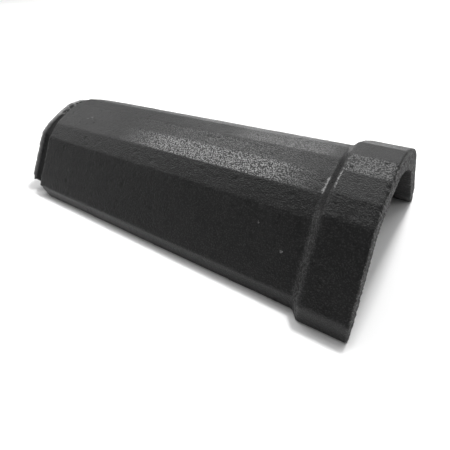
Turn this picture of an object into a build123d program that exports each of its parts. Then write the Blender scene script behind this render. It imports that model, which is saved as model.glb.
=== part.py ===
from build123d import *
from dataclasses import dataclass
from math import cos, radians, sin, tan
import os

# Ridge tile, moulded in one piece from concrete. Sizes in millimetres.
# +X runs along the ridge towards the wide collar end, +Y across it, +Z up from the floor
# that the two long feet rest on. The origin is in the middle of that floor.

# Length and what lies along it
length = 420.0
collar_length = 40.0
shoulder_run = 7.5
spigot_length = 20.5
rim_length = 6.0
spigot_lean_deg = 7.0

# Collar's faceted section, outside: the upright foot, then each facet's run and slope
collar_foot = 17.0
collar_side_run = 70.5
collar_side_slope_deg = 56.4
collar_lower_hip_run = 20.5
collar_lower_hip_slope_deg = 34.0
collar_upper_hip_run = 24.0
collar_upper_hip_slope_deg = 22.5
collar_crown_side_run = 21.5
collar_crown_side_slope_deg = 18.0
collar_crown_flat = 23.0

# Body's faceted section at the foot of the shoulder, outside
body_foot = 14.0
body_side_run = 62.5
body_side_slope_deg = 57.2
body_lower_hip_run = 22.5
body_lower_hip_slope_deg = 39.0
body_upper_hip_run = 21.5
body_upper_hip_slope_deg = 23.0
body_crown_side_run = 20.0
body_crown_side_slope_deg = 19.0
body_crown_flat = 22.5

# Walls and steps, measured square to the facets
collar_wall = 17.5
body_wall = 14.5
body_taper = 7.5
lap_clearance = 0.5
groove_depth = 4.0
socket_run = 7.5

# How much lower the vault inside sits than its wall alone would put it
vault_drop = 2.5

# Feet
foot_tread = 6.0
foot_end_bevel = 15.0
spigot_lift = 10.5
rim_foot_bevel = 5.0

# How far the cutting forms run past the tile
spare = 60.0


@dataclass
class Section:
    """Half a section, from its upright foot over the sloping facets to the flat crown."""

    foot: float
    facets: tuple
    crown_flat: float

    @property
    def half_width(self):
        """Half the width across the feet."""
        return self.crown_flat / 2 + sum(run * cos(radians(slope)) for run, slope in self.facets)

    @property
    def crown_height(self):
        """Height of the flat crown."""
        return self.foot + sum(run * sin(radians(slope)) for run, slope in self.facets)

    def foot_corner(self, inset):
        """Height of the corner above the foot, once the section is moved in by inset."""
        side_slope = self.facets[0][1]
        return self.foot - inset * tan(radians((90 - side_slope) / 2))


collar = Section(
    collar_foot,
    (
        (collar_side_run, collar_side_slope_deg),
        (collar_lower_hip_run, collar_lower_hip_slope_deg),
        (collar_upper_hip_run, collar_upper_hip_slope_deg),
        (collar_crown_side_run, collar_crown_side_slope_deg),
    ),
    collar_crown_flat,
)
body = Section(
    body_foot,
    (
        (body_side_run, body_side_slope_deg),
        (body_lower_hip_run, body_lower_hip_slope_deg),
        (body_upper_hip_run, body_upper_hip_slope_deg),
        (body_crown_side_run, body_crown_side_slope_deg),
    ),
    body_crown_flat,
)

# The spigot follows the next tile's collar, less its wall and the clearance it is lapped with
spigot_inset = collar_wall + lap_clearance
groove_inset = spigot_inset + groove_depth

# Places along the tile. The spigot and the body's end lean, and their places are at the floor.
collar_end = length / 2
collar_start = collar_end - collar_length
shoulder_foot = collar_start - shoulder_run
crown_end = -length / 2
lean_run = (collar.crown_height - spigot_inset) * tan(radians(spigot_lean_deg))
spigot_end = crown_end + lean_run
body_end = spigot_end + spigot_length
rim_start = spigot_end + rim_length


def outline(x, section, inset=0.0):
    """Closed outline of a section at x, moved in by inset, with its feet below the floor."""
    with BuildSketch(Plane.YZ.offset(x)) as sketch:
        with BuildLine():
            foot = Line((section.half_width, -spare), (section.half_width, section.foot))
            corner = foot @ 1
            for run, slope in section.facets:
                facet = PolarLine(corner, run, 180 - slope)
                corner = facet @ 1
            mirror(about=Plane.YZ)
            Line(corner, (-corner.X, corner.Y))
            Line((-section.half_width, -spare), (section.half_width, -spare))
        make_face()
        if inset > 0:
            offset(amount=-inset, kind=Kind.INTERSECTION)
    return sketch.sketch


def leaning(x):
    """Plane across the tile that leans outwards with height, at x on the floor."""
    lean = radians(spigot_lean_deg)
    return Plane(origin=(x, 0, 0), x_dir=(0, 1, 0), z_dir=(cos(lean), 0, sin(lean)))


def spigot_part(first, last, inset):
    """Length of the spigot between two leaning planes, moved in from the collar by inset."""
    with BuildPart() as piece:
        loft(sections=[outline(crown_end - spare, collar, inset), outline(collar_start, collar, inset)],
             ruled=True)
        split(bisect_by=leaning(first), keep=Keep.TOP)
        split(bisect_by=leaning(last), keep=Keep.BOTTOM)
    return piece.part


def hollow(x, section, inset, wall):
    """Section of the space under the tile at x, where the outside stands in by inset.

    A bevel inside each foot leaves a tread under the outer face.
    """
    depth = inset + wall
    below = -spare + depth - vault_drop
    corner = section.foot_corner(depth) - vault_drop
    inner_half = section.half_width - depth
    tread_edge = section.half_width - inset - foot_tread
    with BuildSketch(Plane.YZ.offset(x)) as sketch:
        lowered = Location((0, -vault_drop)) * Location(Plane.YZ).inverse()
        add(outline(0, section, depth).moved(lowered))
        with BuildLine():
            Polyline((0, corner), (inner_half, corner), (tread_edge, 0), (tread_edge, below), (0, below),
                     close=True)
        make_face()
        mirror(about=Plane.YZ)
    return sketch.sketch


with BuildPart() as ridge_tile:
    # Collar, shoulder and tapering body, outside
    loft(sections=[outline(collar_end, collar), outline(collar_start, collar),
                   outline(shoulder_foot, body), outline(crown_end, body, body_taper)],
         ruled=True)
    split(bisect_by=leaning(body_end), keep=Keep.TOP)
    # Spigot that goes under the next tile's collar, with a groove behind its end rim
    add(spigot_part(rim_start, body_end + spigot_length, groove_inset))
    add(spigot_part(spigot_end, rim_start, spigot_inset))
    # Space under the tile, wider inside the collar
    loft(sections=[hollow(collar_end + spare, collar, 0, collar_wall),
                   hollow(collar_start, collar, 0, collar_wall),
                   hollow(collar_start - socket_run, body, 0, body_wall),
                   hollow(body_end, body, body_taper, body_wall)],
         ruled=True, mode=Mode.SUBTRACT)
    loft(sections=[hollow(body_end, body, body_taper, body_wall),
                   hollow(crown_end - spare, body, body_taper, body_wall)],
         ruled=True, mode=Mode.SUBTRACT)
    # Floor that the feet rest on
    split(bisect_by=Plane.XY, keep=Keep.TOP)
    # The spigot has no feet, its rim is bevelled below, and so are the ends of the body's feet
    with BuildSketch(Plane.XZ) as foot_cut:
        with BuildLine():
            Polyline((crown_end - spare, -spare), (body_end + foot_end_bevel, -spare),
                     (body_end + foot_end_bevel, 0), (body_end, spigot_lift),
                     (spigot_end + rim_foot_bevel, spigot_lift),
                     (spigot_end + rim_foot_bevel - spare, spigot_lift + spare), close=True)
        make_face()
    extrude(amount=collar.half_width + spare, both=True, mode=Mode.SUBTRACT)
ridge_tile.part.label = "ridge_tile"

os.makedirs("parts", exist_ok=True)
export_step(ridge_tile.part, "parts/ridge_tile.step")
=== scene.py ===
"""Moulded concrete ridge tile with a faceted section, a raised collar and a grooved spigot.

The tile is one piece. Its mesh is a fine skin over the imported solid: the arrises are worn
round, the collar's end is ragged, and the coated faces are grained, pitted and slightly uneven.
Lengths are metres, unless a name ends in _px, _mm or _deg.
"""

import logging
import math
from dataclasses import dataclass, field
from enum import Enum
from typing import Dict, List, Optional, Sequence, Tuple

import bpy
import numpy as np
from mathutils import Matrix, Vector, noise

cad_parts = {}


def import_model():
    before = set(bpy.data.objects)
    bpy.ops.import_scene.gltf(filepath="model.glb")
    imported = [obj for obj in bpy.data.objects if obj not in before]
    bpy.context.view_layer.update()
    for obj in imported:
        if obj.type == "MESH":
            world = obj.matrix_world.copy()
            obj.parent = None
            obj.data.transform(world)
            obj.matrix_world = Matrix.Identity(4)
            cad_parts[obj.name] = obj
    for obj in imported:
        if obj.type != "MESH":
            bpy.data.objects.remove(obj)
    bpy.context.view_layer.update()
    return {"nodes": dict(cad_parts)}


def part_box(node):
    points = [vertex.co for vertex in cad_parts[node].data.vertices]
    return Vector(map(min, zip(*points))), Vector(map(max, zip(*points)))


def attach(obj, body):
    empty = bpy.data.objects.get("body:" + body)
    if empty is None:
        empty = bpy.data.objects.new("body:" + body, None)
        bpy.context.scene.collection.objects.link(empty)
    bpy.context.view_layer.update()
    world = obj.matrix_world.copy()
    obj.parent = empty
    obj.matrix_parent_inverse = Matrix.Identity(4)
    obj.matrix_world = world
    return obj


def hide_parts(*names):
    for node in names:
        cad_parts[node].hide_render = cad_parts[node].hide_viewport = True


logging.basicConfig(level=logging.INFO, format="%(levelname)s %(message)s")
log = logging.getLogger("ridge_tile")

MM = 0.001
PHOTO_PX = 450
SENSOR_MM = 36.0

Colour = Tuple[float, float, float, float]


def grey(value: float, warmth: float = 0.0) -> Colour:
    """Linear colour of a near-neutral grey.

    Args:
        value: Brightness, from 0 to 1.
        warmth: Share that red gains and blue loses; negative is cooler.

    Returns:
        Red, green, blue and alpha.
    """
    return (value * (1 + warmth), value, value * (1 - warmth), 1.0)


def deselect_all() -> None:
    """Clear the selection, so that an operator acts only on what is chosen next."""
    bpy.ops.object.select_all(action="DESELECT")


def make_active(piece: bpy.types.Object) -> None:
    """Select one object alone and make it the active one.

    Args:
        piece: The object.
    """
    deselect_all()
    piece.select_set(True)
    bpy.context.view_layer.objects.active = piece


def apply_modifier(piece: bpy.types.Object, modifier: bpy.types.Modifier) -> None:
    """Apply one modifier to a piece's mesh."""
    make_active(piece)
    bpy.ops.object.modifier_apply(modifier=modifier.name)


@dataclass
class Viewpoint:
    """Camera at the photograph's angle, with its slight tilt and small lens shift."""

    eye: Tuple[float, float, float] = (0.25461, -0.31599, 0.25571)
    heading_deg: float = 35.291
    down_deg: float = 27.829
    roll_deg: float = -3.003
    focal_px: float = 402.0
    centre_px: Tuple[float, float] = (222.72, 163.36)

    def build(self) -> bpy.types.Object:
        """Create the camera and make it the scene's own.

        Returns:
            The camera object.
        """
        heading = math.radians(self.heading_deg)
        down = math.radians(self.down_deg)
        forward = Vector((-math.sin(heading) * math.cos(down),
                          math.cos(heading) * math.cos(down), -math.sin(down)))
        level = forward.cross(Vector((0, 0, 1))).normalized()
        roll = Matrix.Rotation(math.radians(-self.roll_deg), 3, forward)
        right = roll @ level
        up = right.cross(forward)
        axes = Matrix((right, up, -forward)).transposed()

        data = bpy.data.cameras.new("viewpoint")
        data.sensor_width = SENSOR_MM
        data.lens = self.focal_px / PHOTO_PX * SENSOR_MM
        data.shift_x = (PHOTO_PX / 2 - self.centre_px[0]) / PHOTO_PX
        data.shift_y = (self.centre_px[1] - PHOTO_PX / 2) / PHOTO_PX
        data.clip_start = 10 * MM
        camera = bpy.data.objects.new("viewpoint", data)
        camera.matrix_world = Matrix.Translation(Vector(self.eye)) @ axes.to_4x4()
        bpy.context.scene.collection.objects.link(camera)
        bpy.context.scene.camera = camera
        return camera


class Graph:
    """A node tree with short calls for the nodes that the finishes use."""

    MIX_FIRST = 6
    MIX_SECOND = 7
    MIX_RESULT = 2

    def __init__(self, tree: bpy.types.NodeTree) -> None:
        """Keep the tree that nodes are added to."""
        self.tree = tree

    def node(self, kind: str, inputs: Optional[Dict[str, object]] = None,
             **settings: object) -> bpy.types.Node:
        """Add a node.

        Args:
            kind: Type of the node, such as ShaderNodeBump.
            inputs: Socket name to a value, or to the socket that feeds it.
            settings: Properties of the node.

        Returns:
            The new node.
        """
        made = self.tree.nodes.new(kind)
        for name, value in settings.items():
            setattr(made, name, value)
        for name, value in (inputs or {}).items():
            self.feed(made.inputs[name], value)
        return made

    def feed(self, socket: bpy.types.NodeSocket, value: object) -> None:
        """Link a socket to another, or set its value.

        Args:
            socket: Input to feed.
            value: The socket that feeds it, or its value.
        """
        if isinstance(value, bpy.types.NodeSocket):
            self.tree.links.new(value, socket)
        else:
            socket.default_value = value

    def maths(self, operation: str, first: object, second: object = 0.0) -> bpy.types.NodeSocket:
        """Add one operation on two values or sockets.

        Args:
            operation: Name of the operation, such as MULTIPLY.
            first: First value or socket.
            second: Second value or socket.

        Returns:
            The socket with the outcome.
        """
        made = self.node("ShaderNodeMath", operation=operation)
        self.feed(made.inputs[0], first)
        self.feed(made.inputs[1], second)
        return made.outputs[0]

    def band(self, value: object, low: float, high: float) -> bpy.types.NodeSocket:
        """Add a mask that rises smoothly from 0 at low to 1 at high.

        Args:
            value: Value or socket that the mask follows.
            low: Where the mask starts.
            high: Where it is full.

        Returns:
            The socket with the mask.
        """
        made = self.node("ShaderNodeMapRange", interpolation_type="SMOOTHSTEP")
        self.feed(made.inputs["Value"], value)
        self.feed(made.inputs["From Min"], low)
        self.feed(made.inputs["From Max"], high)
        return made.outputs["Result"]

    def blend(self, mask: object, first: object, second: object) -> bpy.types.NodeSocket:
        """Add a colour that goes from first to second as the mask rises.

        Args:
            mask: Value or socket from 0 to 1.
            first: Colour or socket where the mask is 0.
            second: Colour or socket where it is 1.

        Returns:
            The socket with the colour.
        """
        made = self.node("ShaderNodeMix", data_type="RGBA")
        self.feed(made.inputs["Factor"], mask)
        self.feed(made.inputs[self.MIX_FIRST], first)
        self.feed(made.inputs[self.MIX_SECOND], second)
        return made.outputs[self.MIX_RESULT]

    def noise(self, place: bpy.types.NodeSocket, size: float, detail: float = 3.0,
              rough: float = 0.5) -> bpy.types.NodeSocket:
        """Return noise whose lumps are about size metres across."""
        made = self.node("ShaderNodeTexNoise", {"Vector": place, "Scale": 1.0 / size,
                                                "Detail": detail, "Roughness": rough})
        return made.outputs["Fac"]


def new_group(name: str, inputs: Sequence[Tuple[str, str, float]],
              outputs: Sequence[str]) -> Tuple[Graph, bpy.types.Node, bpy.types.Node]:
    """Start a shader node group.

    Args:
        name: Name of the group.
        inputs: Name, socket type and default of each input. A vector has no default.
        outputs: Names of the float outputs.

    Returns:
        The group's graph, its input node and its output node.
    """
    tree = bpy.data.node_groups.new(name, "ShaderNodeTree")
    for label, kind, default in inputs:
        socket = tree.interface.new_socket(name=label, in_out="INPUT", socket_type=kind)
        if kind == "NodeSocketFloat":
            socket.default_value = default
    for label in outputs:
        tree.interface.new_socket(name=label, in_out="OUTPUT", socket_type="NodeSocketFloat")
    graph = Graph(tree)
    return graph, graph.node("NodeGroupInput"), graph.node("NodeGroupOutput")


class Effects:
    """Node groups that all the finishes share."""

    FINE_SHARE = 0.6
    LUMP_SHARE = 0.4
    SPECK_LEVELS = (0.54, 0.66)
    HOLE_RADIUS = 0.06
    HOLE_RADIUS_SPREAD = 0.10
    HOLE_EDGE = 0.5
    CLOUD_SIZE = 45 * MM
    STREAK_SIZE = 5 * MM
    STREAK_STRETCH = (0.12, 1.0, 1.0)
    SMEAR_SIZE = 1.9 * MM
    SMEAR_TURN = (0.0, math.radians(25), 0.0)
    SMEAR_STRETCH = (0.25, 0.6, 1.0)

    def __init__(self) -> None:
        """Build each group once."""
        self.grain = self._sand_grain()
        self.pinholes = self._pinholes()
        self.mottle = self._mottle()

    def _sand_grain(self) -> bpy.types.NodeTree:
        """Make the group for fine sand grain.

        Returns:
            The group, which gives a height and bright specks.
        """
        graph, given, result = new_group(
            "sand_grain",
            [("Place", "NodeSocketVector", 0.0), ("Size", "NodeSocketFloat", 1.0 * MM)],
            ["Height", "Specks"],
        )
        scale = graph.maths("DIVIDE", 1.0, given.outputs["Size"])
        fine = graph.node("ShaderNodeTexNoise", {"Vector": given.outputs["Place"], "Scale": scale,
                                                 "Detail": 2.0, "Roughness": 0.6})
        grains = graph.node("ShaderNodeTexVoronoi", {"Vector": given.outputs["Place"], "Scale": scale},
                            feature="SMOOTH_F1")
        lumps = graph.maths("SUBTRACT", 1.0, grains.outputs["Distance"])
        height = graph.maths("ADD", graph.maths("MULTIPLY", fine.outputs["Fac"], self.FINE_SHARE),
                             graph.maths("MULTIPLY", lumps, self.LUMP_SHARE))
        graph.feed(result.inputs["Height"], height)
        graph.feed(result.inputs["Specks"], graph.band(height, *self.SPECK_LEVELS))
        return graph.tree

    def _pinholes(self) -> bpy.types.NodeTree:
        """Make the group that scatters small round holes.

        Returns:
            The group, which gives a mask that is 1 in a hole.
        """
        graph, given, result = new_group(
            "pinholes",
            [("Place", "NodeSocketVector", 0.0), ("Spacing", "NodeSocketFloat", 6.0 * MM),
             ("Share", "NodeSocketFloat", 0.25)],
            ["Mask"],
        )
        scale = graph.maths("DIVIDE", 1.0, given.outputs["Spacing"])
        cells = graph.node("ShaderNodeTexVoronoi", {"Vector": given.outputs["Place"], "Scale": scale})
        split = graph.node("ShaderNodeSeparateColor", {"Color": cells.outputs["Color"]})
        chosen = graph.maths("LESS_THAN", split.outputs["Red"], given.outputs["Share"])
        spread = graph.maths("MULTIPLY", split.outputs["Green"], self.HOLE_RADIUS_SPREAD)
        radius = graph.maths("ADD", spread, self.HOLE_RADIUS)
        inside = graph.maths("SUBTRACT", 1.0, graph.maths("DIVIDE", cells.outputs["Distance"], radius))
        mask = graph.maths("MULTIPLY", chosen, graph.band(inside, 0.0, self.HOLE_EDGE))
        graph.feed(result.inputs["Mask"], mask)
        return graph.tree

    def _mottle(self) -> bpy.types.NodeTree:
        """Make the group for uneven clouds, long streaks and short slanting smears.

        Returns:
            The group, which gives one value for each.
        """
        graph, given, result = new_group("mottle", [("Place", "NodeSocketVector", 0.0)],
                                         ["Clouds", "Streaks", "Smears"])
        place = given.outputs["Place"]
        stretched = graph.node("ShaderNodeMapping", {"Vector": place, "Scale": self.STREAK_STRETCH})
        swept = graph.node("ShaderNodeMapping", {"Vector": place, "Rotation": self.SMEAR_TURN,
                                                 "Scale": self.SMEAR_STRETCH})
        clouds = graph.noise(place, self.CLOUD_SIZE, 4.0, 0.6)
        streaks = graph.noise(stretched.outputs["Vector"], self.STREAK_SIZE, 3.0, 0.6)
        smears = graph.noise(swept.outputs["Vector"], self.SMEAR_SIZE, 1.0, 0.5)
        graph.feed(result.inputs["Clouds"], clouds)
        graph.feed(result.inputs["Streaks"], streaks)
        graph.feed(result.inputs["Smears"], smears)
        return graph.tree


@dataclass(frozen=True)
class ConcreteFinish:
    """One finish of the concrete: its colours, gloss and relief.

    Levels are where a mask starts and where it is full. The reliefs of streaks, smears and holes are
    shares of the grain's own.
    """

    name: str
    dark: Colour
    light: Colour
    # Colour of the rubbed coat, also used for the painted edge highlight.
    wear_and_highlight: Colour
    speck: Colour
    roughness: float
    specular: float
    grain_size: float
    grain_depth: float
    specks: float
    wear: float
    hole_share: float
    # Colour of the bright sand, also used for the painted highlights and painted sheen.
    sand_and_sheen: Colour = grey(0.26)
    hole_dark: Colour = grey(0.004)
    pit_dark: Colour = grey(0.002)
    cloud_levels: Tuple[float, float] = (0.3, 0.7)
    rub_gain: float = 0.8
    rub_levels: Tuple[float, float] = (1.0, 1.3)
    sand_levels: Tuple[float, float] = (0.48, 0.62)
    stroke_levels: Tuple[float, float] = (0.58, 0.7)
    stroke_share: float = 0.3
    hole_darkness: float = 0.8
    polish: float = 0.08
    roughness_spread: float = 0.10
    streak_relief: float = 0.1
    smear_relief: float = 0.3
    hole_relief: float = 1.5

    def build(self, effects: Effects) -> bpy.types.Material:
        """Make the material.

        Args:
            effects: The shared node groups.

        Returns:
            The material.
        """
        material = bpy.data.materials.new(self.name)
        material.use_nodes = True
        material.node_tree.nodes.clear()
        graph = Graph(material.node_tree)
        place = graph.node("ShaderNodeTexCoord").outputs["Object"]
        grain = self._effect(graph, effects.grain, place, "Size", self.grain_size)
        holes = self._effect(graph, effects.pinholes, place, "Share", self.hole_share)
        mottle = self._effect(graph, effects.mottle, place)
        clouds = graph.band(mottle["Clouds"], *self.cloud_levels)
        bump = graph.node("ShaderNodeBump", {"Height": self._relief(graph, grain, holes, mottle),
                                             "Distance": self.grain_depth, "Strength": 1.0})
        shader = graph.node("ShaderNodeBsdfPrincipled", {
            "Base Color": self._colour(graph, clouds, grain, holes, mottle),
            "Roughness": self._roughness(graph, clouds, grain),
            "Normal": bump.outputs["Normal"],
            "Specular IOR Level": self.specular,
        })
        output = graph.node("ShaderNodeOutputMaterial")
        graph.feed(output.inputs["Surface"], shader.outputs["BSDF"])
        return material

    @staticmethod
    def _effect(graph: Graph, tree: bpy.types.NodeTree, place: bpy.types.NodeSocket,
                setting: str = "", value: float = 0.0) -> Dict[str, bpy.types.NodeSocket]:
        """Place a shared group.

        Args:
            graph: The material's graph.
            tree: The group.
            place: Socket with the place on the tile.
            setting: Name of the group's input to set, if any.
            value: Value of that input.

        Returns:
            The group's outputs by name.
        """
        group = graph.node("ShaderNodeGroup", node_tree=tree)
        graph.feed(group.inputs["Place"], place)
        if setting:
            group.inputs[setting].default_value = value
        return {socket.name: socket for socket in group.outputs}

    @staticmethod
    def _mark(graph: Graph, name: str) -> bpy.types.NodeSocket:
        """Return a mark that the tile's skin carries."""
        return graph.node("ShaderNodeAttribute", attribute_name=name).outputs["Fac"]

    def _colour(self, graph: Graph, clouds: bpy.types.NodeSocket, grain: Dict[str, bpy.types.NodeSocket],
                holes: Dict[str, bpy.types.NodeSocket],
                mottle: Dict[str, bpy.types.NodeSocket]) -> bpy.types.NodeSocket:
        """Layer the colour: clouded, speckled, rubbed with a painted edge highlight, sanded with painted
        highlights, given a painted sheen, smeared and pitted.

        Args:
            graph: The material's graph.
            clouds: Socket with the clouds' mask.
            grain: Outputs of the sand grain.
            holes: Outputs of the pinholes.
            mottle: Outputs of the mottle.

        Returns:
            The socket with the colour.
        """
        colour = graph.blend(clouds, self.dark, self.light)
        specks = graph.maths("MULTIPLY", grain["Specks"], self.specks)
        colour = graph.blend(specks, colour, self.speck)
        # Rubbed coat, with the painted highlight along the body's end arris.
        rub = graph.maths("MULTIPLY", self._mark(graph, "wear_and_highlight"), self.rub_gain)
        rub_and_highlight = graph.band(graph.maths("ADD", rub, grain["Height"]), *self.rub_levels)
        colour = graph.blend(graph.maths("MULTIPLY", rub_and_highlight, self.wear), colour, self.wear_and_highlight)
        # Painted highlights on the facets that catch the lamps, speckled by the sand grain.
        sandy_highlight = graph.maths("MULTIPLY", graph.band(grain["Height"], *self.sand_levels),
                           self._mark(graph, "sand_and_highlight"))
        colour = graph.blend(sandy_highlight, colour, self.sand_and_sheen)
        # Painted sheen: reflected light painted onto the feet, the far crown and the rim.
        colour = graph.blend(self._mark(graph, "painted_sheen"), colour, self.sand_and_sheen)
        strokes = graph.maths("MULTIPLY", graph.band(mottle["Smears"], *self.stroke_levels),
                              self._mark(graph, "smeared"))
        colour = graph.blend(graph.maths("MULTIPLY", strokes, self.stroke_share), colour, self.speck)
        hollow = graph.maths("MULTIPLY", holes["Mask"], self.hole_darkness)
        colour = graph.blend(hollow, colour, self.hole_dark)
        return graph.blend(self._mark(graph, "pitted"), colour, self.pit_dark)

    def _roughness(self, graph: Graph, clouds: bpy.types.NodeSocket,
                   grain: Dict[str, bpy.types.NodeSocket]) -> bpy.types.NodeSocket:
        """Work out the roughness, a little polished where the clouds are dark.

        Args:
            graph: The material's graph.
            clouds: Socket with the clouds' mask.
            grain: Outputs of the sand grain.

        Returns:
            The socket with the roughness.
        """
        rough = graph.maths("ADD", self.roughness - self.polish,
                            graph.maths("MULTIPLY", clouds, self.roughness_spread))
        return graph.maths("ADD", rough, graph.maths("MULTIPLY", grain["Height"], self.roughness_spread))

    def _relief(self, graph: Graph, grain: Dict[str, bpy.types.NodeSocket],
                holes: Dict[str, bpy.types.NodeSocket],
                mottle: Dict[str, bpy.types.NodeSocket]) -> bpy.types.NodeSocket:
        """Work out the height of the grain, streaks and smears, less the pinholes.

        Args:
            graph: The material's graph.
            grain: Outputs of the sand grain.
            holes: Outputs of the pinholes.
            mottle: Outputs of the mottle.

        Returns:
            The socket with the height.
        """
        streaks = graph.maths("MULTIPLY", mottle["Streaks"], self.streak_relief)
        smeared = graph.maths("MULTIPLY", self._mark(graph, "smeared"), self.smear_relief)
        smears = graph.maths("MULTIPLY", mottle["Smears"], smeared)
        relief = graph.maths("ADD", graph.maths("ADD", grain["Height"], streaks), smears)
        return graph.maths("SUBTRACT", relief, graph.maths("MULTIPLY", holes["Mask"], self.hole_relief))


class Face(Enum):
    """Where on the tile a face lies, which sets its finish."""

    COATED = 0
    RAW_END = 1
    UNDERSIDE = 2
    GROOVE = 3


FINISHES: Dict[Face, ConcreteFinish] = {
    Face.COATED: ConcreteFinish(
        name="coated_concrete", dark=grey(0.003, -0.03), light=grey(0.006, -0.02),
        wear_and_highlight=grey(0.24), speck=grey(0.05), roughness=0.42, specular=0.36,
        grain_size=1.2 * MM, grain_depth=0.8 * MM, specks=0.38, wear=0.9, hole_share=0.08),
    Face.RAW_END: ConcreteFinish(
        name="raw_end_concrete", dark=grey(0.022, 0.01), light=grey(0.055, 0.01),
        wear_and_highlight=grey(0.18), speck=grey(0.21), roughness=0.8, specular=0.3,
        grain_size=1.6 * MM, grain_depth=1.8 * MM, specks=0.8, wear=0.3, hole_share=0.6),
    Face.UNDERSIDE: ConcreteFinish(
        name="underside_concrete", dark=grey(0.012, 0.01), light=grey(0.026, 0.01),
        wear_and_highlight=grey(0.06), speck=grey(0.06), roughness=0.8, specular=0.3,
        grain_size=1.8 * MM, grain_depth=0.8 * MM, specks=0.4, wear=0.4, hole_share=0.3),
    Face.GROOVE: ConcreteFinish(
        name="groove_concrete", dark=grey(0.024), light=grey(0.038),
        wear_and_highlight=grey(0.06), speck=grey(0.07), roughness=0.8, specular=0.15,
        grain_size=1.6 * MM, grain_depth=0.8 * MM, specks=0.3, wear=0.5, hole_share=0.2),
}


@dataclass(frozen=True)
class Landmarks:
    """Places along the tile, at the floor, that the wear follows. The spigot's end leans."""

    rim: float = -193.6 * MM
    body_end: float = -179.1 * MM
    shoulder_foot: float = 162.5 * MM
    collar: float = 170.0 * MM
    lean_deg: float = 7.0

    @property
    def lean(self) -> float:
        """Return how far the spigot's end leans out for each metre of height."""
        return math.tan(math.radians(self.lean_deg))

    def along(self, places: np.ndarray) -> np.ndarray:
        """Return how far along the tile each place lies, once the lean is taken out."""
        return places[:, 0] + places[:, 2] * self.lean


def rise(values: np.ndarray, low: float, high: float) -> np.ndarray:
    """Return 0 below low, 1 above high and a smooth rise between them."""
    share = np.clip((values - low) / (high - low), 0.0, 1.0)
    return share * share * (3.0 - 2.0 * share)


@dataclass(frozen=True)
class Fade:
    """A smooth change between two values."""

    start: float
    end: float

    def after(self, values: np.ndarray) -> np.ndarray:
        """Return 0 up to the start and 1 past the end."""
        return rise(values, self.start, self.end)

    def before(self, values: np.ndarray) -> np.ndarray:
        """Return 1 up to the start and 0 past the end."""
        return 1.0 - self.after(values)


@dataclass(frozen=True)
class Strip:
    """A strip that is 1 at its centre and falls smoothly to 0 at its reach."""

    centre: float
    reach: float

    def share(self, values: np.ndarray) -> np.ndarray:
        """Return how much of the strip there is at each value."""
        return 1.0 - rise(np.abs(values - self.centre), 0.0, self.reach)


def blotches(places: np.ndarray, size: float, levels: Fade) -> np.ndarray:
    """Return blotches about size across, from 0 to 1 as the noise goes through the levels."""
    return levels.after(np.array([noise.noise(Vector(place) / size) for place in places]))


@dataclass(frozen=True)
class Chip:
    """A small pit in the coat, or a light speck where the coat is chipped off."""

    place: Tuple[float, float, float]
    radius: float = 1.7 * MM
    depth: float = 0.8 * MM
    light: bool = False


def millimetres(*place: float) -> Tuple[float, float, float]:
    """Return a place in metres."""
    return tuple(value * MM for value in place)


# Chips that the photograph shows on the near side, then those along the collar's cut edge
SIDE_CHIPS: Tuple[Chip, ...] = (
    Chip(millimetres(200.3, -95.9, 38.3)),
    Chip(millimetres(-180.8, -79.5, 35.9)),
    Chip(millimetres(-42.6, -54.0, 72.4)),
    Chip(millimetres(69.4, -30.1, 87.4)),
    Chip(millimetres(140.2, -55.4, 75.7)),
    Chip(millimetres(117.9, -75.3, 52.8), light=True),
    Chip(millimetres(144.0, -84.9, 38.8), light=True),
    Chip(millimetres(-135.2, -79.8, 37.0), light=True),
    Chip(millimetres(-145.7, -30.2, 82.9), light=True),
    Chip(millimetres(-141.0, -27.6, 84.1), light=True),
)
EDGE_CHIPS: Tuple[Chip, ...] = (
    Chip(millimetres(208.8, -37.1, 94.3), 2.0 * MM, 1.2 * MM),
    Chip(millimetres(209.6, -44.1, 91.3), 2.4 * MM, 1.4 * MM),
    Chip(millimetres(209.4, -50.4, 88.7), 2.0 * MM, 1.2 * MM),
    Chip(millimetres(210.0, -57.0, 85.2), 2.4 * MM, 1.4 * MM),
    Chip(millimetres(210.0, -66.0, 79.0), 1.8 * MM, 1.0 * MM),
    Chip(millimetres(210.0, -74.5, 70.5), 1.8 * MM, 1.0 * MM),
    Chip(millimetres(210.0, 47.5, 90.0), 2.2 * MM, 1.2 * MM),
    Chip(millimetres(210.0, 78.0, 65.0), 2.0 * MM, 1.0 * MM),
)


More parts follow.
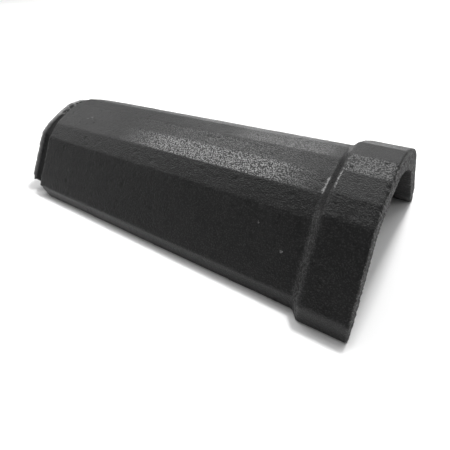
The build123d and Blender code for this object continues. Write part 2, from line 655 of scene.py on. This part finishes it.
@dataclass(frozen=True)
class Wear:
    """Where the coat is rubbed off, frosted with sand or smeared, and where highlights, reflections and
    sheen are painted into the colour.

    Places are along the tile or up from the floor, and slopes are from level. The spigot, the rim, the
    body's end and the rubbed strips at the shoulder are measured from their landmarks.
    """

    marks: Landmarks = Landmarks()
    # Rubbed places, and the painted highlight along the body's end arris
    spigot: Fade = Fade(-1 * MM, 3 * MM)
    spigot_crown: Fade = Fade(73 * MM, 77 * MM)
    patch_size: float = 3.2 * MM
    patch_levels: Fade = Fade(-0.4, 0.15)
    rim_edge: Fade = Fade(-1.5 * MM, -0.5 * MM)
    rim_rub: float = 0.85
    end_strip: Strip = Strip(0.5 * MM, 2 * MM)
    end_highlight: float = 0.8
    foot_strip: Strip = Strip(-1 * MM, 3.2 * MM)
    top_strip: Strip = Strip(1 * MM, 3.5 * MM)
    top_rub: float = 0.85
    line_bottom: Fade = Fade(79.5 * MM, 81.5 * MM)
    line_top: Fade = Fade(87.5 * MM, 89.5 * MM)
    step_rise: float = 8 * MM
    # Sand and painted highlights: facets that catch the lamps, and a painted reflection at the
    # shoulder's step
    hip_slope_deg: Strip = Strip(24.0, 7.0)
    hip_start: Fade = Fade(-95 * MM, 30 * MM)
    hip_end: Fade = Fade(75 * MM, 165 * MM)
    hip_highlight: float = 1.5
    crown_slope_deg: Fade = Fade(5.0, 12.0)
    crown_start: Fade = Fade(40 * MM, 80 * MM)
    crown_end: Fade = Fade(140 * MM, 165 * MM)
    crown_highlight: float = 0.4
    collar_slope_deg: Strip = Strip(17.0, 5.0)
    collar_start: Fade = Fade(168 * MM, 172 * MM)
    collar_highlight: float = 0.5
    upper_part: Fade = Fade(60 * MM, 70 * MM)
    step_strip: Strip = Strip(166 * MM, 7 * MM)
    step_top: Fade = Fade(68 * MM, 78 * MM)
    step_reflection: float = 0.22
    # Painted sheen: reflected light painted onto the feet, the far crown and the rim
    foot_slope_deg: Fade = Fade(75.0, 85.0)
    foot_top: Fade = Fade(13 * MM, 16 * MM)
    foot_run: Fade = Fade(-200 * MM, 180 * MM)
    foot_sheen: float = 0.21
    foot_sheen_loss: float = 0.155
    far_run: Fade = Fade(-150 * MM, -60 * MM)
    far_height: Fade = Fade(70 * MM, 80 * MM)
    far_sheen: float = 0.04
    end_slope_deg: Fade = Fade(65.0, 80.0)
    rim_sheen: float = 0.2
    rim_strip: Strip = Strip(0.0, 2.5 * MM)
    rim_arris_sheen: float = 0.55
    # Smeared places
    smear_bottom: Fade = Fade(55 * MM, 68 * MM)
    smear_top: Fade = Fade(80 * MM, 90 * MM)
    smear_start: Fade = Fade(-120 * MM, -30 * MM)

    def wear_and_highlight(self, places: np.ndarray, arris: np.ndarray) -> np.ndarray:
        """Return where the coat is rubbed off, with a painted highlight along the body's end arris, from
        0 to 1.

        Args:
            places: Place of each vertex.
            arris: How sharply the skin bulges at each vertex.

        Returns:
            One value for each vertex.
        """
        along = self.marks.along(places)
        past_end = along - self.marks.body_end
        height = places[:, 2]
        crown = self.spigot_crown.after(height)
        patch = self.spigot.before(past_end) * crown
        patch *= blotches(places, self.patch_size, self.patch_levels)
        rim_line = self.rim_rub * self.rim_edge.before(along - self.marks.rim) * (1.0 - crown)
        # Painted highlight: a bright line along the body's end arris.
        end_line = self.end_highlight * self.end_strip.share(past_end) * arris
        foot_line = self.foot_strip.share(places[:, 0] - self.marks.shoulder_foot) * self._on_hip(height)
        top_line = self.top_strip.share(places[:, 0] - self.marks.collar)
        top_line *= self.top_rub * self._on_hip(height - self.step_rise)
        return np.clip(patch + rim_line + end_line + foot_line + top_line, 0.0, 1.0)

    def _on_hip(self, height: np.ndarray) -> np.ndarray:
        """Return 1 at the height of the upper hip, where the shoulder is rubbed."""
        return self.line_bottom.after(height) * self.line_top.before(height)

    def sand_and_highlight(self, places: np.ndarray, slopes: np.ndarray) -> np.ndarray:
        """Return where bright sand and painted highlights show: along the upper hip, the crown, the
        collar and, as a painted reflection, the shoulder's step.

        Args:
            places: Place of each vertex.
            slopes: Slope of the skin at each vertex.

        Returns:
            One value for each vertex.
        """
        along = places[:, 0]
        height = places[:, 2]
        # Painted highlights where the lamps reflect on the upper hip, the crown and the collar, partly
        # sand; a painted reflection at the shoulder's step.
        hip = self.hip_slope_deg.share(slopes) * self.hip_start.after(along) * self.hip_end.before(along)
        crown = self.crown_slope_deg.before(slopes) * self.crown_start.after(along)
        crown *= self.crown_end.before(along)
        collar = self.collar_slope_deg.share(slopes) * self.collar_start.after(along)
        step = self.step_strip.share(along) * self.step_top.before(height)
        upper = self.hip_highlight * hip + self.crown_highlight * crown + self.collar_highlight * collar
        return np.clip(upper * self.upper_part.after(height) + self.step_reflection * step, 0.0, 1.0)

    def painted_sheen(self, places: np.ndarray, slopes: np.ndarray, arris: np.ndarray) -> np.ndarray:
        """Return where reflected light is painted on evenly: on the feet, lighter towards the far end,
        on the far crown and on the rim.

        Args:
            places: Place of each vertex.
            slopes: Slope of the skin at each vertex.
            arris: How sharply the skin bulges at each vertex.

        Returns:
            One value for each vertex.
        """
        along = places[:, 0]
        height = places[:, 2]
        # Painted reflection and sheen: feet lighter towards the far end, a lighter far crown, and a
        # painted highlight along the rim and its arris.
        foot = self.foot_slope_deg.after(slopes) * self.foot_top.before(height)
        foot *= self.foot_sheen - self.foot_sheen_loss * self.foot_run.after(along)
        far = self.far_sheen * self.far_run.before(along) * self.far_height.after(height)
        past_rim = self.marks.along(places) - self.marks.rim
        rim = self.rim_sheen * self.rim_edge.before(past_rim) * self.end_slope_deg.before(slopes)
        rim_arris = self.rim_arris_sheen * arris * self.rim_strip.share(past_rim)
        return np.clip(foot + far + rim + rim_arris, 0.0, 1.0)

    def smeared(self, places: np.ndarray) -> np.ndarray:
        """Return where the trowel smeared the fresh face: below the upper hip and on the collar.

        Args:
            places: Place of each vertex.

        Returns:
            One value for each vertex.
        """
        height = places[:, 2]
        band = self.smear_bottom.after(height) * self.smear_top.before(height)
        return band * self.smear_start.after(places[:, 0])


@dataclass
class Relief:
    """One layer of unevenness pressed into the skin by a cloud texture."""

    name: str
    size: float
    depth: float
    group: str = ""
    levels: Tuple[float, float] = (0.0, 1.0)
    octaves: int = 2
    middle: float = 0.0


@dataclass
class MouldedTile:
    """The whole tile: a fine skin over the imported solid."""

    node: bpy.types.Object
    wear: Wear = Wear()
    merge_reach: float = 0.01 * MM
    flat_angle_deg: float = 0.5
    arris_round: float = 0.75 * MM
    arris_angle_deg: float = 28.0
    voxel: float = 1.85 * MM
    end_reach: float = 4.0 * MM
    tread_skin: float = 0.4 * MM
    foot_margin: float = 3.0 * MM
    bulge_rounds: int = 2
    bulge_percentile: float = 99.0
    least_weight: float = 0.05
    chips: Tuple[Chip, ...] = SIDE_CHIPS + EDGE_CHIPS
    chip_wear: float = 0.78
    pit_gain: float = 2.0
    stain_size: float = 3.5 * MM
    stain_levels: Fade = Fade(-0.1, 0.35)
    stain_depth: float = 1.0 * MM
    stain_share: float = 0.7
    end_facing: float = 0.75
    under_facing: float = 0.2
    upward_share: float = 0.6
    groove_top: float = 76.0 * MM
    groove_wall: float = 0.4 * MM
    reliefs: List[Relief] = field(default_factory=lambda: [
        Relief("uneven_faces", 60 * MM, 0.5 * MM, octaves=1, middle=0.5),
        Relief("trowel_waves", 15 * MM, 0.2 * MM, octaves=1, middle=0.5),
        Relief("sandy_faces", 3.6 * MM, 0.35 * MM, middle=0.5),
        Relief("pits", 4.0 * MM, 0.9 * MM, levels=(0.79, 0.84), octaves=1),
        Relief("worn_arrises", 12.0 * MM, 0.4 * MM, group="arris", levels=(0.4, 0.8)),
        Relief("ragged_ends", 4.5 * MM, 1.3 * MM, group="ends", levels=(0.55, 0.8), octaves=3),
    ])

    def build(self) -> bpy.types.Object:
        """Make, roughen and dress the tile.

        Returns:
            The finished piece.
        """
        low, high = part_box(self.node.name)
        piece = self._copy_solid()
        self._round_arrises(piece)
        self._remesh(piece)
        self._mark(piece, high)
        treads = [vertex.index for vertex in piece.data.vertices
                  if vertex.co.z < low.z + self.tread_skin]
        self._chip(piece.data, high)
        for relief in self.reliefs:
            self._press(piece, relief)
        self._keep_inside(piece, low, high, treads)
        self._dress(piece, high)
        return piece

    def _copy_solid(self) -> bpy.types.Object:
        """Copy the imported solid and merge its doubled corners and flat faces.

        Returns:
            The new object.
        """
        piece = bpy.data.objects.new("moulded_tile", self.node.data.copy())
        bpy.context.scene.collection.objects.link(piece)
        piece.data.materials.clear()
        make_active(piece)
        bpy.ops.object.mode_set(mode="EDIT")
        bpy.ops.mesh.select_all(action="SELECT")
        bpy.ops.mesh.remove_doubles(threshold=self.merge_reach)
        bpy.ops.mesh.dissolve_limited(angle_limit=math.radians(self.flat_angle_deg))
        bpy.ops.object.mode_set(mode="OBJECT")
        return piece

    def _round_arrises(self, piece: bpy.types.Object) -> None:
        """Wear the sharp edges round with a small bevel.

        Args:
            piece: The tile.
        """
        bevel = piece.modifiers.new("arrises", "BEVEL")
        bevel.limit_method = "ANGLE"
        bevel.angle_limit = math.radians(self.arris_angle_deg)
        bevel.width = self.arris_round
        bevel.segments = 2
        apply_modifier(piece, bevel)

    def _remesh(self, piece: bpy.types.Object) -> None:
        """Cover the solid with an even skin of small faces, held to the solid's own form.

        Args:
            piece: The tile.
        """
        form = bpy.data.objects.new("form", piece.data.copy())
        bpy.context.scene.collection.objects.link(form)
        remesh = piece.modifiers.new("skin", "REMESH")
        remesh.mode = "VOXEL"
        remesh.voxel_size = self.voxel
        apply_modifier(piece, remesh)
        smooth = piece.modifiers.new("smooth", "SMOOTH")
        smooth.factor = 0.5
        smooth.iterations = 1
        apply_modifier(piece, smooth)
        wrap = piece.modifiers.new("hold_to_form", "SHRINKWRAP")
        wrap.target = form
        apply_modifier(piece, wrap)
        bpy.data.objects.remove(form)

    def _mark(self, piece: bpy.types.Object, high: Vector) -> None:
        """Mark the arrises, the collar's cut end and the places that the finishes follow.

        Args:
            piece: The tile.
            high: Highest corner of the tile's box.
        """
        mesh = piece.data
        places = self._places(mesh)
        arris = self._bulge(mesh, places)
        slopes = self._slopes(mesh)
        above_feet = rise(places[:, 2], self.foot_margin, 2 * self.foot_margin)
        cut_end = Strip(high.x, self.end_reach).share(places[:, 0])
        self._group(piece, "arris", arris * above_feet)
        self._group(piece, "ends", cut_end * above_feet)
        # Rubbed coat, with the painted highlight along the body's end arris.
        self._attribute(mesh, "wear_and_highlight", self.wear.wear_and_highlight(places, arris))
        self._attribute(mesh, "smeared", self.wear.smeared(places))
        # Sand with painted highlights, and the painted reflection at the shoulder's step.
        self._attribute(mesh, "sand_and_highlight", self.wear.sand_and_highlight(places, slopes))
        # Painted sheen of reflected light.
        self._attribute(mesh, "painted_sheen", self.wear.painted_sheen(places, slopes, arris))

    def _chip(self, mesh: bpy.types.Mesh, high: Vector) -> None:
        """Press the dark pits in, and mark them, the light specks and the cut end's stains.

        Args:
            mesh: The tile's mesh.
            high: Highest corner of the tile's box.
        """
        pitted = np.zeros(len(mesh.vertices))
        for chip in self.chips:
            for vertex in mesh.vertices:
                share = 1.0 - (vertex.co - Vector(chip.place)).length / chip.radius
                if share <= 0.0:
                    continue
                if chip.light:
                    mesh.attributes["wear_and_highlight"].data[vertex.index].value = self.chip_wear
                else:
                    pitted[vertex.index] = max(pitted[vertex.index], min(1.0, self.pit_gain * share))
                    vertex.co -= vertex.normal * (chip.depth * share)
        places = self._places(mesh)
        cut = rise(places[:, 0], high.x - self.stain_depth, high.x)
        stains = self.stain_share * cut * blotches(places, self.stain_size, self.stain_levels)
        self._attribute(mesh, "pitted", np.maximum(pitted, stains))

    @staticmethod
    def _places(mesh: bpy.types.Mesh) -> np.ndarray:
        """Read the places of the vertices.

        Args:
            mesh: The tile's mesh.

        Returns:
            The place of each vertex, one row each.
        """
        places = np.empty(len(mesh.vertices) * 3)
        mesh.vertices.foreach_get("co", places)
        return places.reshape(-1, 3)

    @staticmethod
    def _slopes(mesh: bpy.types.Mesh) -> np.ndarray:
        """Return the slope of the skin at each vertex, in degrees from level."""
        ups = [min(max(vertex.normal.z, -1.0), 1.0) for vertex in mesh.vertices]
        return np.array([math.degrees(math.acos(up)) for up in ups])

    def _group(self, piece: bpy.types.Object, name: str, weights: np.ndarray) -> None:
        """Store all but the least weights as a vertex group.

        Args:
            piece: The tile.
            name: Name of the group.
            weights: One weight for each vertex.
        """
        group = piece.vertex_groups.new(name=name)
        for index in np.flatnonzero(weights > self.least_weight):
            group.add([int(index)], float(weights[index]), "REPLACE")

    @staticmethod
    def _attribute(mesh: bpy.types.Mesh, name: str, values: np.ndarray) -> None:
        """Store one value for each vertex, for the finishes to read."""
        attribute = mesh.attributes.new(name, "FLOAT", "POINT")
        attribute.data.foreach_set("value", values)

    def _bulge(self, mesh: bpy.types.Mesh, places: np.ndarray) -> np.ndarray:
        """Work out how sharply the skin bulges, from 0 to 1.

        Args:
            mesh: The tile's mesh.
            places: Place of each vertex.

        Returns:
            One value for each vertex.
        """
        count = len(mesh.vertices)
        normals = np.array([vertex.normal for vertex in mesh.vertices])
        edges = np.empty(len(mesh.edges) * 2, int)
        mesh.edges.foreach_get("vertices", edges)
        edges = edges.reshape(-1, 2)
        ends = np.concatenate([edges, edges[:, ::-1]])
        degree = np.bincount(ends[:, 0], minlength=count)

        def spread(values: np.ndarray) -> np.ndarray:
            """Return the mean of each vertex's neighbours."""
            total = np.bincount(ends[:, 0], weights=values[ends[:, 1]], minlength=count)
            return total / degree

        middle = np.column_stack([spread(places[:, axis]) for axis in range(3)])
        bulge = ((places - middle) * normals).sum(axis=1)
        for _ in range(self.bulge_rounds):
            bulge = (bulge + spread(bulge)) / 2
        return np.clip(bulge / np.percentile(bulge, self.bulge_percentile), 0.0, 1.0)

    def _press(self, piece: bpy.types.Object, relief: Relief) -> None:
        """Press one layer of unevenness into the skin.

        Args:
            piece: The tile.
            relief: The layer.
        """
        texture = bpy.data.textures.new(relief.name, "CLOUDS")
        texture.noise_scale = relief.size
        texture.noise_depth = relief.octaves
        texture.use_color_ramp = True
        ramp = texture.color_ramp
        ramp.elements[0].position, ramp.elements[1].position = relief.levels
        ramp.elements[0].color = (0.0, 0.0, 0.0, 1.0)
        ramp.elements[1].color = (1.0, 1.0, 1.0, 1.0)
        displace = piece.modifiers.new(relief.name, "DISPLACE")
        displace.texture = texture
        displace.texture_coords = "LOCAL"
        displace.mid_level = relief.middle
        displace.strength = -relief.depth
        displace.direction = "NORMAL"
        if relief.group:
            displace.vertex_group = relief.group
        apply_modifier(piece, displace)

    @staticmethod
    def _keep_inside(piece: bpy.types.Object, low: Vector, high: Vector, treads: List[int]) -> None:
        """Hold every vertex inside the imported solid's box, and the treads on the floor.

        Args:
            piece: The tile.
            low: Lowest corner of the box.
            high: Highest corner of the box.
            treads: Vertices that rest on the floor.
        """
        for index in treads:
            piece.data.vertices[index].co.z = low.z
        for vertex in piece.data.vertices:
            for axis in range(3):
                vertex.co[axis] = min(max(vertex.co[axis], low[axis]), high[axis])

    def _face_kind(self, centre: Vector, normal: Vector, high: Vector) -> Face:
        """Return where on the tile a face lies.

        Args:
            centre: Middle of the face.
            normal: Way that it faces.
            high: Highest corner of the tile's box.

        Returns:
            The kind of face.
        """
        marks = self.wear.marks
        outward = normal.z * self.upward_share + normal.y * (1 if centre.y > 0 else -1)
        along = centre.x + centre.z * marks.lean
        if normal.x > self.end_facing and high.x - centre.x < self.end_reach:
            return Face.RAW_END
        if outward < -self.under_facing or normal.x < -self.end_facing:
            return Face.UNDERSIDE
        if marks.rim - self.groove_wall < along < marks.body_end and centre.z < self.groove_top:
            return Face.GROOVE
        return Face.COATED

    def _dress(self, piece: bpy.types.Object, high: Vector) -> None:
        """Give each face its finish by where it lies and smooth the shading.

        Args:
            piece: The tile.
            high: Highest corner of the tile's box.
        """
        effects = Effects()
        for face in Face:
            piece.data.materials.append(FINISHES[face].build(effects))
        for polygon in piece.data.polygons:
            polygon.material_index = self._face_kind(polygon.center, polygon.normal, high).value
        make_active(piece)
        bpy.ops.object.shade_smooth()


@dataclass
class Softbox:
    """A soft studio light aimed at a point on the tile."""

    name: str
    place: Tuple[float, float, float]
    aim: Tuple[float, float, float]
    size: Tuple[float, float]
    power: float
    mirrored: bool = True

    def build(self) -> bpy.types.Object:
        """Create the light.

        Returns:
            The light object.
        """
        data = bpy.data.lights.new(self.name, "AREA")
        data.shape = "RECTANGLE"
        data.size, data.size_y = self.size
        data.energy = self.power
        light = bpy.data.objects.new(self.name, data)
        light.location = self.place
        light.visible_glossy = self.mirrored
        towards = Vector(self.aim) - Vector(self.place)
        light.rotation_euler = towards.to_track_quat("-Z", "Y").to_euler()
        bpy.context.scene.collection.objects.link(light)
        return light


@dataclass
class Studio:
    """Pale floor, even sky and softboxes round the tile."""

    floor_size: float = 12.0
    floor_grey: float = 0.87
    floor_roughness: float = 0.9
    sky: float = 0.2
    boxes: List[Softbox] = field(default_factory=lambda: [
        Softbox("top_box", (-0.2, 2.5, 3.0), (0.0, 0.3, 0.0), (5.0, 4.0), 150.0),
        Softbox("over_box", (0.17, 1.5, 2.8), (0.0, 0.0, 0.0), (0.4, 0.5), 76.0, mirrored=False),
        Softbox("left_box", (-3.2, -0.2, 1.9), (0.0, 0.0, 0.0), (2.2, 1.6), 26.0),
        Softbox("right_box", (2.2, 0.3, 1.6), (0.3, 0.0, 0.0), (1.4, 1.4), 9.0),
        Softbox("key_box", (-0.84, 0.26, 1.2), (0.0, 0.0, 0.08), (0.5, 0.35), 4.5),
        Softbox("rear_box", (-0.6, 1.22, 0.70), (0.0, 0.0, 0.08), (0.5, 0.3), 1.0),
    ])

    def build(self) -> None:
        """Create the floor, the sky and the lights."""
        self._floor()
        self._sky()
        for box in self.boxes:
            box.build()
        bpy.context.scene.view_settings.view_transform = "Standard"

    def _floor(self) -> None:
        """Lay the pale floor that the tile rests on."""
        deselect_all()
        bpy.ops.mesh.primitive_grid_add(x_subdivisions=4, y_subdivisions=4, size=self.floor_size,
                                        location=(0.0, 0.0, 0.0))
        floor = bpy.context.object
        floor.name = "studio_floor"
        material = bpy.data.materials.new("pale_floor")
        material.use_nodes = True
        shader = material.node_tree.nodes["Principled BSDF"]
        shader.inputs["Base Color"].default_value = grey(self.floor_grey)
        shader.inputs["Roughness"].default_value = self.floor_roughness
        floor.data.materials.append(material)

    def _sky(self) -> None:
        """Surround the scene with even pale light."""
        world = bpy.data.worlds.new("pale_sky")
        world.use_nodes = True
        background = world.node_tree.nodes["Background"]
        background.inputs["Color"].default_value = grey(1.0)
        background.inputs["Strength"].default_value = self.sky
        bpy.context.scene.world = world


def main() -> None:
    """Build the scene: camera, tile, studio."""
    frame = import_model()
    Viewpoint().build()
    tile = MouldedTile(frame["nodes"]["ridge_tile"]).build()
    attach(tile, "root")
    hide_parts("ridge_tile")
    log.info("%s: %d faces", tile.name, len(tile.data.polygons))
    Studio().build()


if __name__ == "__main__":
    main()
